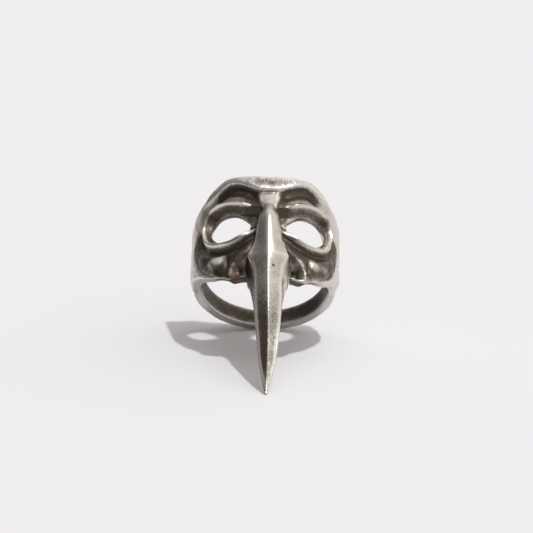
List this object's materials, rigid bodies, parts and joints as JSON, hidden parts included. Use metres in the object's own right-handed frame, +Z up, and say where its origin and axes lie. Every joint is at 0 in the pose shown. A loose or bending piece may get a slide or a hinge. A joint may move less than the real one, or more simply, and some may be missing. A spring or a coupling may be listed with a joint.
{
  "type": "beaked half-mask finger ring",
  "caption": "Silver finger ring in the form of a long-beaked half-mask with open eyes, resting on its beak and shank.",
  "frame": {"origin": "centre of the bottom of the bounding box, on the table the ring stands on", "axes": "+Z up from the table; -Y towards the beak's tip; +X towards the wearer of the mask's left side, the right side seen from the front; the finger's axis leans back from the table by about 39 degrees, in the YZ plane"},
  "size_m": [0.0234, 0.0364, 0.0247],
  "materials": {
    "oxidised_silver": "dark oxidised cast silver, worn bright on the high places",
    "worn_silver": "bright worn silver with fine file marks",
    "relief_silver": "antiqued silver, bright on the rims and dark in the sockets",
    "beak_silver": "antiqued silver, brushed along the beak, with fine casting pits",
    "shank_silver": "antiqued silver, dark inside, worn on the edges",
    "solder": "dull silver solder"
  },
  "bodies": {
    "root": {"face_plate": "oxidised_silver", "forehead_band": "worn_silver", "left_eye_bezel": "relief_silver", "right_eye_bezel": "relief_silver", "beak": "beak_silver", "left_nostril": "relief_silver", "right_nostril": "relief_silver", "left_side_band": "worn_silver", "right_side_band": "worn_silver", "left_shank_joint": "solder", "right_shank_joint": "solder", "shank": "shank_silver"}
  },
  "joints": []
}
